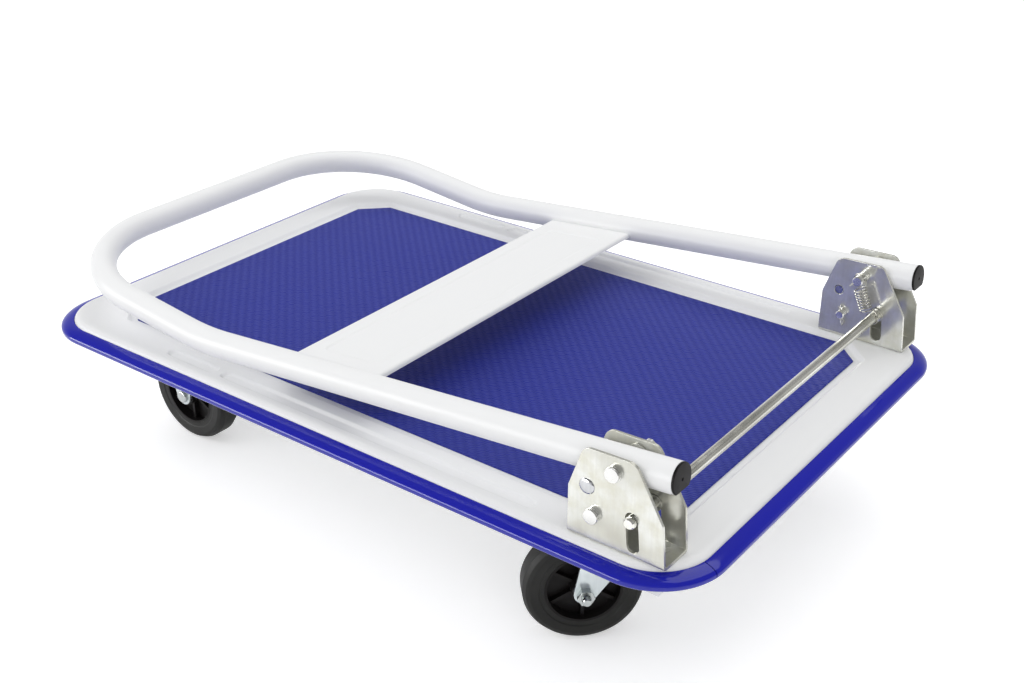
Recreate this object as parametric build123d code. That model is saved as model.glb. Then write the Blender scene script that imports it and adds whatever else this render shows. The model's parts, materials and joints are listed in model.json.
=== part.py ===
from build123d import *
import os
from math import cos, pi, radians, sin, sqrt

# Folding platform cart, in millimetres. +Z is up, the floor is z = 0, +X points to the hinge end,
# and left is -Y: the side on the left of someone who stands at the hinge end and faces the cart.

# Deck, measured over the edge bumper
deck_length = 743.0
deck_width = 492.0
deck_corner = 62.0
deck_steel = 1.5
rim_depth = 17.0
rim_roll = 7.0
pan_depth = 4.0
pan_margin = 9.5
mat_side_margin = 59.0
mat_end_margin = 58.5
mat_corner_cut = 27.0
mat_thickness = 1.5
groove_inset = 31.0
groove_width = 14.0
groove_depth = 2.0
groove_spacing = 6.0
short_groove_length = 66.0
long_groove_length = 371.0
groove_to_bracket = 22.0

# Edge bumper
bumper_proud = 13.0
bumper_drop = 4.8
bumper_nose = 10.2
bumper_round = 3.0
bumper_wall = 2.5
bumper_inner_round = 1.5
bumper_lip = 6.0
bumper_lip_thickness = 1.5
bumper_joint = 0.4
bumper_joint_angle = 11.0

# Stiffening rails under the deck
rail_steel = 1.5
side_rail_inset = 30.0
side_rail_width = 12.0
side_rail_depth = 31.0
side_rail_end_inset = 37.5
side_rail_tab = 22.0
cross_rail_steel = 2.0
cross_rail_width = 96.0
cross_rail_depth = 17.0
cross_rail_flange = 12.0
cross_rail_end_inset = 50.0

# Handle: one bent tube, its pivot, and the pressed panel between its legs
tube_diameter = 25.4
tube_wall = 1.5
handle_inset = 34.1
fold_slope = 5.3
kink_reach = 457.4
kink_angle = 11.8
kink_radius = 250.0
grip_reach = 216.5
grip_bend = 113.0
tube_tail = 44.0
handle_swing = 100.7
panel_reach = 263.0
panel_width = 100.4
panel_steel = 1.5
panel_drop = 0.5
panel_fold = 4.5
panel_bend = 3.0
panel_press_margin = 17.0
panel_press_end_margin = 26.0
panel_press_depth = 0.9
panel_press_corner = 8.0
plug_cap = 2.0
plug_depth = 18.0
plug_wall = 2.0

# Hinge brackets, their pins and the latch rod
bracket_length = 85.0
bracket_height = 81.0
bracket_steel = 2.5
bracket_bend = 3.5
bracket_end_inset = 26.8
bracket_rear_shoulder = 42.4
bracket_rear_slope = 12.8
bracket_rear_drop = 1.5
bracket_front_shoulder = 37.2
bracket_front_lean = 3.0
bracket_front_slope = 28.2
bracket_top_round = 9.0
bracket_bolt_end_inset = 14.0
bracket_bolt_inset = 5.4
bracket_bolt = 6.0
pivot_setback = 45.3
pivot_height = 67.2
pivot_pin = 10.0
pivot_tail = 16.0
washer_thickness = 1.2
washer_diameter = 19.0
rest_pin = 9.5
rest_reach = 24.8
rest_dimple = 1.6
rest_head = 13.4
rest_head_height = 2.2
stop_pin = 8.5
stop_reach = 44.0
stop_proud = 0.2
stop_tail = 7.0
pin_head = 12.5
pin_head_height = 4.6
cotter_wire = 2.4
cotter_end_inset = 3.5
cotter_eye = 2.6
cotter_length = 9.0
pivot_cotter_turn = 50.0
stop_cotter_turn = 165.0
latch_rod = 9.6
latch_forward = 16.1
latch_drop = 35.2
latch_travel = 21.6
slot_lean = 5.5
slot_over = 2.0
latch_end_proud = 4.5
clip_thickness = 0.8
clip_width = 2.0
clip_mouth = 6.0

# Latch springs
spring_wire = 1.2
spring_radius = 5.65
spring_setback = 9.0
spring_offset = 3.0
spring_turns = 11
spring_pitch = 2.0
hook_turn = 250.0
points_per_turn = 48

# Castors
wheel_radius = 51.0
tyre_width = 27.5
tyre_bore = 66.0
tyre_shoulder = 3.0
hub_rim = 2.2
hub_rim_width = 25.5
hub_web = 5.0
hub_boss = 22.0
hub_ribs = 6
rib_thickness = 3.0
rib_step = 5.0
sleeve_diameter = 12.0
axle_bolt = 8.0
fork_gap = 34.0
fork_steel = 2.5
fork_leg_round = 9.5
wheel_clearance = 13.0
bridge_steel = 3.5
race_height = 8.5
castor_plate_steel = 3.0
castor_plate_length = 76.0
castor_plate_width = 96.0
castor_plate_corner = 8.0
castor_bolt = 8.0
castor_bolt_length = 56.0
castor_bolt_width = 74.0
castor_side_inset = 113.0
swivel_inset = 115.5
fixed_inset = 96.5
swivel_trail = 38.0
swivel_turn = 43.5
head_back = 35.0
head_front = 20.0
fixed_leg_top = 56.0
race_radius = 21.0
race_ring = 11.0
race_cup = 2.0
ball_diameter = 6.0
balls = 10
king_pin = 12.0
king_head = 19.0
king_head_height = 5.0
axle_head_height = 3.0
axle_thread_proud = 5.5

# Hexagon heads and nuts, as multiples of the thread
flats_per_thread = 1.625
head_per_thread = 0.65
nut_per_thread = 0.8
thread_past_nut = 2.5

# Clearances
running = 0.06
slip = 0.3
side_play = 0.2
hole_play = 0.4
slot_play = 0.6
hub_end_play = 0.4

# Heights worked out from the floor up
axle_z = wheel_radius
bridge_under = 2 * wheel_radius + wheel_clearance
fork_top = bridge_under + bridge_steel
plate_under = fork_top + race_height
plate_top = plate_under + castor_plate_steel
pan_under = plate_top + cross_rail_depth
pan_floor = pan_under + deck_steel
deck_top = pan_floor + pan_depth
mat_top = pan_floor + mat_thickness
rim_bottom = deck_top - rim_depth

# Deck sizes inside the bumper
sheet_length = deck_length - 2 * bumper_proud
sheet_width = deck_width - 2 * bumper_proud
sheet_corner = deck_corner - bumper_proud
mat_length = deck_length - 2 * mat_end_margin
mat_width = deck_width - 2 * mat_side_margin
pan_length = mat_length + 2 * pan_margin
pan_width = mat_width + 2 * pan_margin
pan_corner_cut = mat_corner_cut + pan_margin * (2 - sqrt(2))

# Bracket and pivot places, with the deck's centre at x = 0
tube_radius = tube_diameter / 2
tube_y = deck_width / 2 - handle_inset
bracket_x1 = deck_length / 2 - bracket_end_inset
bracket_x0 = bracket_x1 - bracket_length
pivot_x = bracket_x1 - pivot_setback
pivot_z = deck_top + pivot_height
bracket_gap = tube_diameter + 2 * (washer_thickness + 2 * side_play)
bracket_width = bracket_gap + 2 * bracket_steel
latch_x = pivot_x + latch_forward
latch_z = pivot_z - latch_drop
slot_radius = latch_rod / 2 + slot_play
spring_y = bracket_width / 2 + spring_setback

# Handle lines in the X-Z plane: the folded tube falls from the pivot towards the grip, then rises
tube_way = Vector(-cos(radians(fold_slope)), 0, -sin(radians(fold_slope)))
tube_up = Vector(-sin(radians(fold_slope)), 0, cos(radians(fold_slope)))
grip_rise = radians(kink_angle - fold_slope)
pivot = Vector(pivot_x, 0, pivot_z)
kink = pivot + tube_way * kink_reach
grip = kink + Vector(-cos(grip_rise), 0, sin(grip_rise)) * grip_reach
tube_end = pivot - tube_way * tube_tail
stop_depth = tube_radius + stop_proud

# The part's origin is under the middle of its box, which reaches from the grip to the hinge end
frame_shift = (tube_radius - grip.X - deck_length / 2) / 2

sides = {"left": -1, "right": 1}
parts = {}


def cyl_y(x, z, y0, y1, radius):
    """A round bar along Y."""
    return Pos(x, (y0 + y1) / 2, z) * Rot(90, 0, 0) * Cylinder(radius, abs(y1 - y0))


def tube_z(outer, inner, z0, z1):
    """A ring about Z."""
    ring = extrude(Circle(outer) - Circle(inner), z1 - z0)
    return Pos(0, 0, z0) * ring


def slab(outline, z0, z1):
    """A flat outline raised from z0 to z1."""
    return Pos(0, 0, z0) * extrude(outline, z1 - z0)


def hexagon(size):
    """The outline of a hexagonal head, by its width across the flats."""
    return RegularPolygon(size / 2, 6, major_radius=False)


def hex_bolt(thread, length):
    """A bolt with its head above z = 0 and its shank below."""
    head = slab(hexagon(flats_per_thread * thread), 0, head_per_thread * thread)
    return head + slab(Circle(thread / 2), -length, 0)


def hex_nut(thread):
    """A nut above z = 0, bored to clear its bolt."""
    nut = slab(hexagon(flats_per_thread * thread), 0, nut_per_thread * thread)
    return nut - slab(Circle(thread / 2 + running), -thread, 2 * thread)


def on_side(piece, side):
    """Put a piece that is drawn about the tube's own plane, outwards along +Y, on one side of the cart."""
    placed = Pos(0, tube_y, 0) * piece
    return placed if side > 0 else mirror(placed, about=Plane.XZ)


def cut_corners(length, width, cut):
    """A rectangle with its corners cut off."""
    return chamfer(Rectangle(length, width).vertices(), cut)


# Deck


def pan_form(rise):
    """The sunk middle of the deck as a block, with walls that slope at 45 degrees."""
    floor = cut_corners(pan_length - 2 * pan_depth, pan_width - 2 * pan_depth,
                        pan_corner_cut - pan_depth * (2 - sqrt(2)))
    mouth = cut_corners(pan_length, pan_width, pan_corner_cut)
    return Pos(0, 0, rise) * loft([Pos(0, 0, pan_floor) * floor, Pos(0, 0, deck_top) * mouth], ruled=True)


def groove_forms(rise):
    """The pressed grooves of the long borders: a short and a long one on each side."""
    long_x = bracket_x0 - groove_to_bracket - long_groove_length / 2
    short_x = long_x - long_groove_length / 2 - groove_spacing - short_groove_length / 2
    forms = []
    for x, length in ((long_x, long_groove_length), (short_x, short_groove_length)):
        mouth = SlotOverall(length, groove_width)
        floor = SlotOverall(length - 2 * groove_depth, groove_width - 2 * groove_depth)
        form = loft([Pos(0, 0, deck_top - groove_depth) * floor, Pos(0, 0, deck_top) * mouth], ruled=True)
        for side in sides.values():
            forms.append(Pos(x, side * (deck_width / 2 - groove_inset), rise) * form)
    return forms


def deck_block(inset):
    """The deck's outer form, or the hollow inside it when inset by the sheet."""
    outline = RectangleRounded(sheet_length - 2 * inset, sheet_width - 2 * inset, sheet_corner - inset)
    block = slab(outline, rim_bottom, deck_top - inset)
    block = fillet(block.faces().sort_by(Axis.Z)[-1].edges(), rim_roll - inset)
    return block - pan_form(-inset) - groove_forms(-inset)


def bracket_bolt_places():
    """Centres of the bracket bolts on the side at +Y."""
    y = tube_y - bracket_bolt_inset
    return [(bracket_x0 + bracket_bolt_end_inset, y), (bracket_x1 - bracket_bolt_end_inset, y)]


def deck_panel():
    """Pressed sheet: flat border, sunk middle, grooves and a rolled-down rim."""
    panel = deck_block(0) - deck_block(deck_steel)
    for x, y in bracket_bolt_places():
        for side in sides.values():
            panel -= Pos(x, side * y, deck_top) * Cylinder(bracket_bolt / 2 + hole_play, 4 * deck_steel)
    return panel


def edge_bumper():
    """Soft strip round the rim: a bowed top to a round nose, a wall below it, a lip under the rim's edge."""
    top = deck_top - bumper_drop
    nose = deck_top - bumper_nose
    nose_under = nose - bumper_round
    bottom = rim_bottom - bumper_lip_thickness
    out = -bumper_proud
    bow = EllipticalCenterArc((0, nose), bumper_proud, top - nose, start_angle=90, arc_size=90)
    under = RadiusArc((out, nose), (out + bumper_round, nose_under), -bumper_round)
    inside = Polyline((out + bumper_round, nose_under), (-bumper_wall, nose_under), (-bumper_wall, bottom),
                      (bumper_lip, bottom), (bumper_lip, rim_bottom), (0, rim_bottom), (0, top))
    profile = make_face([bow.edge(), under.edge()] + inside.edges())
    at_wall = [v for v in profile.vertices() if abs(v.X + bumper_wall) < slip]
    profile = fillet(at_wall, bumper_inner_round)
    path = RectangleRounded(sheet_length, sheet_width, sheet_corner).wire()
    plane = Plane(origin=(0, -sheet_width / 2, 0), x_dir=(0, 1, 0), z_dir=(1, 0, 0))
    strip = sweep(plane * profile, path=path)
    corner = Pos(sheet_length / 2 - sheet_corner, -sheet_width / 2 + sheet_corner, rim_bottom)
    slit = Pos(deck_corner, 0, 0) * Box(deck_corner, bumper_joint, 4 * rim_depth)
    return strip - corner * Rot(0, 0, -bumper_joint_angle) * slit


def side_rail(side):
    """Angle rail along one side: a wall under the grooves, a foot turned inwards, a low tab at each end."""
    length = deck_length - 2 * side_rail_end_inset
    outer = deck_width / 2 - side_rail_inset
    top = deck_top - groove_depth - deck_steel
    height = side_rail_depth
    block = Box(length, side_rail_width, height)
    hollow = Pos(0, -rail_steel, rail_steel) * Box(length - 2 * rail_steel, side_rail_width, height)
    above_tabs = Pos(0, -rail_steel, side_rail_tab) * Box(2 * length, side_rail_width, height)
    rail = Pos(0, outer - side_rail_width / 2, top - height / 2) * (block - hollow - above_tabs)
    return rail if side > 0 else mirror(rail, about=Plane.XZ)


def cross_rail(x, bolt_places):
    """Hat-shaped rail across the deck, with its flanges under the pan and its web on the castor plates."""
    half = cross_rail_width / 2
    wide = half + cross_rail_flange
    steel = cross_rail_steel
    outline = Polyline(
        (-half, plate_top), (half, plate_top), (half, pan_under - steel), (wide, pan_under - steel),
        (wide, pan_under), (half - steel, pan_under), (half - steel, plate_top + steel),
        (-half + steel, plate_top + steel), (-half + steel, pan_under), (-wide, pan_under),
        (-wide, pan_under - steel), (-half, pan_under - steel), close=True)
    rail = extrude(Plane.XZ * make_face(outline), deck_width / 2 - cross_rail_end_inset, both=True)
    for bolt_x, bolt_y in bolt_places:
        rail -= Pos(bolt_x, bolt_y, plate_top) * Cylinder(castor_bolt / 2 + hole_play, 6 * steel)
    return Pos(x, 0, 0) * rail


# Hinge brackets


def hinge_bracket(side):
    """U-shaped bracket: a web bolted to the deck and two cheeks with pin holes and a latch slot."""
    base = deck_top
    outline = Polyline(
        (bracket_x0, base), (bracket_x1, base),
        (bracket_x1 - bracket_front_lean, base + bracket_front_shoulder),
        (bracket_x1 - bracket_front_slope, base + bracket_height),
        (bracket_x0 + bracket_rear_slope, base + bracket_height - bracket_rear_drop),
        (bracket_x0, base + bracket_rear_shoulder), close=True)
    cheek = make_face(outline)
    cheek = fillet(cheek.vertices().sort_by(Axis.Y)[-2:], bracket_top_round)
    cheek = fillet(cheek.vertices().sort_by(Axis.Y)[2:4], bracket_bend)
    body = extrude(Plane.XZ * cheek, bracket_width / 2, both=True)
    middle_x = (bracket_x0 + bracket_x1) / 2
    trough = Box(2 * bracket_length, bracket_gap, bracket_height)
    trough = fillet(trough.edges().filter_by(Axis.X).group_by(Axis.Z)[0], bracket_bend - bracket_steel)
    body -= Pos(middle_x, 0, base + bracket_steel + bracket_height / 2) * trough
    body = fillet(body.edges().filter_by(Axis.X).group_by(Axis.Z)[0], bracket_bend)
    reach = bracket_width
    for spot, size in ((pivot, pivot_pin), (rest_place(), rest_pin), (stop_place(), stop_pin)):
        body -= cyl_y(spot.X, spot.Z, -reach, reach, size / 2 + running)
    slot_under = latch_travel + slip - slot_play
    slot = SlotCenterToCenter(slot_over + slot_under, 2 * slot_radius)
    slot = Pos(latch_x, latch_z) * Rot(0, 0, 90 + slot_lean) * Pos((slot_over - slot_under) / 2, 0) * slot
    body -= extrude(Plane.XZ * slot, reach, both=True)
    for x, y in bracket_bolt_places():
        body -= Pos(x, y - tube_y, base) * Cylinder(bracket_bolt / 2 + hole_play, 4 * bracket_steel)
    return on_side(body, side)


def rest_place():
    """Centre of the pin that the folded tube lies on."""
    return pivot + tube_way * rest_reach - tube_up * (tube_radius + rest_pin / 2 + slip)


def stop_place():
    """Centre of the pin that the notch in the tube's end closes on when the handle stands."""
    turn = radians(handle_swing)
    along = -tube_way
    below = -tube_up
    arm = along * stop_reach + below * stop_depth
    return pivot + Vector(arm.X * cos(turn) + arm.Z * sin(turn), 0, arm.Z * cos(turn) - arm.X * sin(turn))


def headed_pin(spot, size, tail, turn):
    """A pin through both cheeks, head outside, with a cotter hole in its inner tail."""
    outside = bracket_width / 2
    end = -outside - tail
    head = fillet(cyl_y(spot.X, spot.Z, outside, outside + pin_head_height, pin_head / 2)
                  .faces().sort_by(Axis.Y)[-1].edges(), pin_head_height / 4)
    shank = cyl_y(spot.X, spot.Z, end, outside, size / 2)
    shank = chamfer(shank.faces().sort_by(Axis.Y)[0].edges(), size / 10)
    hole = Rot(0, turn, 0) * Cylinder(cotter_wire / 2 + running, 2 * size)
    return head + shank - Pos(spot.X, end + cotter_end_inset, spot.Z) * hole


def rest_rivet():
    """A rivet across the bracket: a low domed head outside, and a closed end with a dimple inside."""
    spot = rest_place()
    half = bracket_width / 2
    rivet = cyl_y(spot.X, spot.Z, -half, half, rest_pin / 2)
    dome_radius = ((rest_head / 2) ** 2 + rest_head_height**2) / (2 * rest_head_height)
    dome = Pos(spot.X, half + rest_head_height - dome_radius, spot.Z) * Sphere(dome_radius)
    rivet += dome & cyl_y(spot.X, spot.Z, half, half + 2 * rest_head_height, rest_head)
    dimple = Pos(spot.X, -half, spot.Z) * Rot(-90, 0, 0)
    return rivet - dimple * Cone(rest_pin / 2 - rest_dimple / 2, rest_dimple / 4, 2 * rest_dimple)


def cotter(spot, size, tail, turn):
    """Split pin in a pin's tail: an eye, a shank through the hole, two spread ends; turned about the pin."""
    y = -bracket_width / 2 - tail + cotter_end_inset
    wire = cotter_wire / 2
    eye_z = size / 2 + wire + cotter_eye
    eye = Pos(0, 0, eye_z) * Rot(90, 0, 0) * Torus(cotter_eye, wire * 0.8)
    shank = slab(Circle(wire), -size / 2 - wire, eye_z - cotter_eye)
    pin = eye + shank
    for way in sides.values():
        leg = Pos(0, 0, -size / 2) * Rot(way * 35, 0, 0) * slab(Circle(wire * 0.7), -cotter_length / 2, 0)
        pin += leg
    return Pos(spot.X, y, spot.Z) * Rot(0, turn, 0) * pin


def pivot_washers():
    """Two flat washers on the pivot pin, one on each side of the tube."""
    inner = tube_radius + side_play
    rings = []
    for way in sides.values():
        ring = cyl_y(pivot_x, pivot_z, way * inner, way * (inner + washer_thickness), washer_diameter / 2)
        ring -= cyl_y(pivot_x, pivot_z, -bracket_width, bracket_width, pivot_pin / 2 + running)
        rings.append(ring)
    return rings


# Latch


def rod_half_length():
    return tube_y + bracket_width / 2 + latch_end_proud


def latch_rod_bar():
    """Round bar across the cart, through the slots of both brackets."""
    half = rod_half_length()
    bar = cyl_y(latch_x, latch_z, -half, half, latch_rod / 2)
    return chamfer(bar.edges().filter_by(GeomType.CIRCLE), latch_rod / 9)


def latch_clips():
    """Two snap rings on the rod, one on each face of the inner cheek."""
    mouth = Box(clip_mouth, 4 * clip_thickness, 2 * latch_rod)
    bore = cyl_y(latch_x, latch_z, -2 * bracket_width, 0, latch_rod / 2 + running)
    rings = []
    for y in (-bracket_width / 2 - side_play - clip_thickness, -bracket_gap / 2 + side_play):
        ring = cyl_y(latch_x, latch_z, y, y + clip_thickness, latch_rod / 2 + clip_width)
        rings.append(ring - bore - Pos(latch_x, y, latch_z - latch_rod) * mouth)
    return rings


def two_arcs(start, start_way, end, end_way):
    """Two tangent arcs that join two points with the given directions."""
    gap = end - start
    both = start_way + end_way
    bend = 2 * (1 - start_way.dot(end_way))
    along = gap.dot(both)
    reach = (sqrt(along * along + bend * gap.dot(gap)) - along) / bend
    middle = (start + start_way * reach + end - end_way * reach) * 0.5
    middle_way = (end - end_way * reach - start - start_way * reach).normalized()
    return [Edge.make_tangent_arc(start, start_way, middle), Edge.make_tangent_arc(middle, middle_way, end)]


def latch_spring():
    """Pull spring from the pivot pin to the latch rod, wound from one wire with a hook at each end."""
    upper = Vector(pivot_x, -spring_y, pivot_z)
    lower = Vector(latch_x, -spring_y, latch_z)
    span = (lower - upper).length
    along = (lower - upper).normalized()
    across = Vector(0, -1, 0)
    out = across.cross(along)
    coil_length = spring_turns * spring_pitch
    first = upper + along * ((span - coil_length) / 2) - out * spring_offset

    def coil_point(turns):
        angle = 2 * pi * turns
        spoke = out * cos(angle) + across * sin(angle)
        return first + along * (spring_pitch * turns) + spoke * spring_radius

    def coil_way(turns):
        angle = 2 * pi * turns
        round_way = (across * cos(angle) - out * sin(angle)) * (2 * pi * spring_radius)
        return (along * spring_pitch + round_way).normalized()

    def hook_point(centre, radius, angle):
        return centre + (along * cos(radians(angle)) + out * sin(radians(angle))) * radius

    def hook_way(angle):
        return along * sin(radians(angle)) - out * cos(radians(angle))

    stations = []
    upper_radius = pivot_pin / 2 + spring_wire / 2 + slip
    lower_radius = latch_rod / 2 + spring_wire / 2 + slip
    for share in (1.0, 0.5, 0.0):
        angle = 90 + hook_turn * share
        stations.append((hook_point(upper, upper_radius, angle), hook_way(angle)))
    for half_turn in range(2 * spring_turns + 1):
        stations.append((coil_point(half_turn / 2), coil_way(half_turn / 2)))
    for share in (0.0, 0.5, 1.0):
        angle = 90 - hook_turn * share
        stations.append((hook_point(lower, lower_radius, angle), hook_way(angle)))
    edges = []
    for (start, start_way), (end, end_way) in zip(stations, stations[1:]):
        edges += two_arcs(start, start_way, end, end_way)
    path = Wire(edges)
    wire = sweep(Plane(origin=path @ 0, z_dir=path % 0) * Circle(spring_wire / 2), path=path)
    return wire, path


def least_gap(path):
    """Smallest gap between stretches of a wound wire, measured on points along it."""
    count = points_per_turn * spring_turns
    points = [path @ (i / count) for i in range(count + 1)]
    step = path.length / count
    apart = int(pi * spring_radius / step)
    gaps = [(points[i] - points[j]).length for i in range(count + 1) for j in range(i + apart, count + 1)]
    return min(gaps) - spring_wire


# Handle


def handle_path():
    """The tube's centre line: tail, kink, one corner of the grip, and back on the other side."""
    stations = [(tube_end, 1), (kink, 1), (grip, 1), (grip, -1), (kink, -1), (tube_end, -1)]
    points = [Vector(spot.X, side * tube_y, spot.Z) for spot, side in stations]
    return FilletPolyline(*points, radius=[kink_radius, grip_bend, grip_bend, kink_radius])


def handle_solid(radius):
    path = handle_path()
    return sweep(Plane(origin=path @ 0, z_dir=path % 0) * Circle(radius), path=path.wire())


def notch():
    """Round bar along Y that cuts the stop pin's notch in both tube ends."""
    spot = pivot - tube_way * stop_reach - tube_up * stop_depth
    return cyl_y(spot.X, spot.Z, -deck_width, deck_width, stop_pin / 2 + slip)


def handle_tube():
    """Bent tube with a pivot hole and a stop notch in each tail."""
    tube = handle_solid(tube_radius) - handle_solid(tube_radius - tube_wall)
    tube -= cyl_y(pivot_x, pivot_z, -deck_width, deck_width, pivot_pin / 2 + running)
    return tube - notch()


def along_tube():
    """A frame on the folded tube: its origin at the pivot between the legs, X towards the grip, Z up."""
    return Plane(origin=pivot, x_dir=tube_way, z_dir=tube_up)


def handle_panel():
    """Pressed sheet between the legs, with turned-down edges and a shallow sunk field."""
    width = 2 * tube_y
    middle = panel_reach + panel_width / 2
    outline = Rectangle(panel_width, width)
    sheet = slab(outline, -panel_drop - panel_fold, -panel_drop)
    sheet = fillet(sheet.edges().filter_by(Axis.Y).group_by(Axis.Z)[-1], panel_bend)
    inside = Rectangle(panel_width - 2 * panel_steel, 2 * width)
    inside = slab(inside, -panel_drop - 2 * panel_fold, -panel_drop - panel_steel)
    sheet -= fillet(inside.edges().filter_by(Axis.Y).group_by(Axis.Z)[-1], panel_bend - panel_steel)
    field_length = 2 * (tube_y - tube_radius - panel_press_end_margin)
    field_width = panel_width - 2 * panel_press_margin
    mouth = RectangleRounded(field_width, field_length, panel_press_corner)
    floor = RectangleRounded(field_width - 2 * panel_press_depth, field_length - 2 * panel_press_depth,
                             panel_press_corner - panel_press_depth)
    press = loft([Pos(0, 0, -panel_press_depth) * floor, mouth], ruled=True)
    sheet = sheet + Pos(0, 0, -panel_drop - panel_steel) * press - Pos(0, 0, -panel_drop) * press
    panel = along_tube() * Pos(middle, 0, 0) * sheet
    for side in sides.values():
        line = Plane(origin=(pivot_x, side * tube_y, pivot_z), z_dir=tube_way)
        panel -= line * Cylinder(tube_radius + running, 4 * kink_reach)
    return panel


def end_plug(side):
    """Plastic plug in a tube end: a hollow spigot inside the tube and a cap of the tube's size."""
    spigot_radius = tube_radius - tube_wall - running
    cap = slab(Circle(tube_radius), 0, plug_cap)
    cap = fillet(cap.faces().sort_by(Axis.Z)[-1].edges(), plug_cap / 4)
    spigot = slab(Circle(spigot_radius), -plug_depth, 0)
    spigot -= slab(Circle(spigot_radius - plug_wall), -2 * plug_depth, -stop_pin - plug_wall)
    plug = Plane(origin=tube_end + Vector(0, tube_y, 0), z_dir=-tube_way) * (cap + spigot)
    plug -= notch()
    return plug if side > 0 else mirror(plug, about=Plane.XZ)


# Castors, drawn with the plate's centre over the origin and the wheel's axle along Y


def castor_bolt_places():
    half_x, half_y = castor_bolt_length / 2, castor_bolt_width / 2
    return [(x, y) for x in (-half_x, half_x) for y in (-half_y, half_y)]


def castor_plate_slab():
    plate = slab(RectangleRounded(castor_plate_length, castor_plate_width, castor_plate_corner),
                 plate_under, plate_top)
    for x, y in castor_bolt_places():
        plate -= Pos(x, y, plate_top) * Cylinder(castor_bolt / 2 + hole_play, 4 * castor_plate_steel)
    return plate


def ball_height():
    return (fork_top + plate_under - race_drop()) / 2


def race_drop():
    """How far the plate's race ring hangs below it, so that the balls bear on both races."""
    return race_height - 2 * ball_diameter / 3


def ball_groove():
    return Pos(0, 0, ball_height()) * Torus(race_radius, ball_diameter / 2 + slip / 2)


def swivel_plate():
    """Top plate with the upper ball race under it."""
    half = race_ring / 2
    ring = tube_z(race_radius + half, race_radius - half, plate_under - race_drop(), plate_under)
    plate = castor_plate_slab() + ring - ball_groove()
    return plate - Pos(0, 0, plate_top) * Cylinder(king_pin / 2 + running, 4 * castor_plate_steel)


def king_pin_rivet():
    """Rivet that carries the fork under the plate."""
    shank = slab(Circle(king_pin / 2), bridge_under - side_play, plate_top)
    head = slab(Circle(king_head / 2), bridge_under - side_play - king_head_height, bridge_under - side_play)
    return shank + fillet(head.faces().sort_by(Axis.Z)[0].edges(), king_head_height / 3)


def race_balls():
    """The ring of balls between the races."""
    turn = 360 / balls
    place = Pos(race_radius, 0, ball_height())
    return [Rot(0, 0, turn * i) * place * Sphere(ball_diameter / 2) for i in range(balls)]


def legs(outline, top):
    """Two fork legs with the same outline in X-Z, joined above the wheel."""
    outer = extrude(Plane.XZ * outline, fork_gap / 2 + fork_steel, both=True)
    hollow = Pos(0, 0, top - 2 * wheel_radius) * Box(8 * wheel_radius, fork_gap, 4 * wheel_radius)
    return outer - hollow


def swivel_fork():
    """Pressed fork: lower race and cup on top, tapered legs that trail to the axle."""
    toe = Pos(-swivel_trail, axle_z) * Circle(fork_leg_round)
    head = Pos((head_front - head_back) / 2, (bridge_under + fork_top) / 2)
    head *= Rectangle(head_front + head_back, bridge_steel)
    fork = legs(make_hull(toe.edges() + head.edges()), bridge_under)
    cup_inner = race_radius + race_ring / 2 + 2 * slip
    cup_outer = cup_inner + race_cup
    fork += slab(Circle(cup_outer), bridge_under, fork_top)
    fork += tube_z(cup_outer, cup_inner, fork_top, plate_under - 2 * slip)
    fork -= ball_groove()
    fork -= Pos(0, 0, fork_top) * Cylinder(king_pin / 2 + running, 4 * bridge_steel)
    return fork - axle_hole(-swivel_trail)


def fixed_fork():
    """Top plate with two legs straight down to the axle."""
    toe = Pos(0, axle_z) * Circle(fork_leg_round)
    root = Pos(0, plate_under + castor_plate_steel / 2) * Rectangle(fixed_leg_top, castor_plate_steel)
    fork = legs(make_hull(toe.edges() + root.edges()), plate_under) + castor_plate_slab()
    return fork - axle_hole(0)


def axle_hole(x):
    return cyl_y(x, axle_z, -2 * fork_gap, 2 * fork_gap, axle_bolt / 2 + running)


def fork_half():
    return fork_gap / 2 + fork_steel


def axle_pin():
    """Axle bolt along Y: low round head at +Y, threaded end past the nut at -Y."""
    end = -fork_half() - nut_per_thread * axle_bolt - axle_thread_proud
    head = cyl_y(0, 0, fork_half(), fork_half() + axle_head_height, flats_per_thread * axle_bolt / 2)
    head = fillet(head.faces().sort_by(Axis.Y)[-1].edges(), axle_head_height / 2)
    shank = cyl_y(0, 0, end, fork_half(), axle_bolt / 2)
    return head + chamfer(shank.faces().sort_by(Axis.Y)[0].edges(), axle_bolt / 8)


def axle_nut():
    return Pos(0, -fork_half(), 0) * Rot(90, 0, 0) * hex_nut(axle_bolt)


def axle_sleeve():
    """Spacer between the legs that the hub runs on."""
    half = fork_gap / 2
    sleeve = cyl_y(0, 0, -half, half, sleeve_diameter / 2)
    return sleeve - cyl_y(0, 0, -fork_gap, fork_gap, axle_bolt / 2 + running)


def wheel_hub():
    """Moulded hub: boss, thin web, rim and ribs on both faces."""
    boss = fork_gap / 2 - hub_end_play
    bore = sleeve_diameter / 2 + running
    rim_outer = tyre_bore / 2 - running
    rim_inner = rim_outer - hub_rim
    rim_half = hub_rim_width / 2
    web_half = hub_web / 2
    half_section = [(bore, boss), (hub_boss / 2, boss), (hub_boss / 2, web_half), (rim_inner, web_half),
                    (rim_inner, rim_half), (rim_outer, rim_half)]
    mirrored = [(radius, -axial) for radius, axial in reversed(half_section)]
    hub = revolve(make_face(Polyline(*half_section, *mirrored, close=True)), Axis.Y)
    rib_length = rim_inner - hub_boss / 2 + hub_rim / 2
    rib = Pos(hub_boss / 2 + rib_length / 2 - hub_rim / 4, 0, 0)
    rib *= Box(rib_length, hub_rim_width - 2 * rib_step, rib_thickness)
    for i in range(hub_ribs):
        hub += Rot(0, 360 / hub_ribs * (i + 0.5), 0) * rib
    return hub


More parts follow.
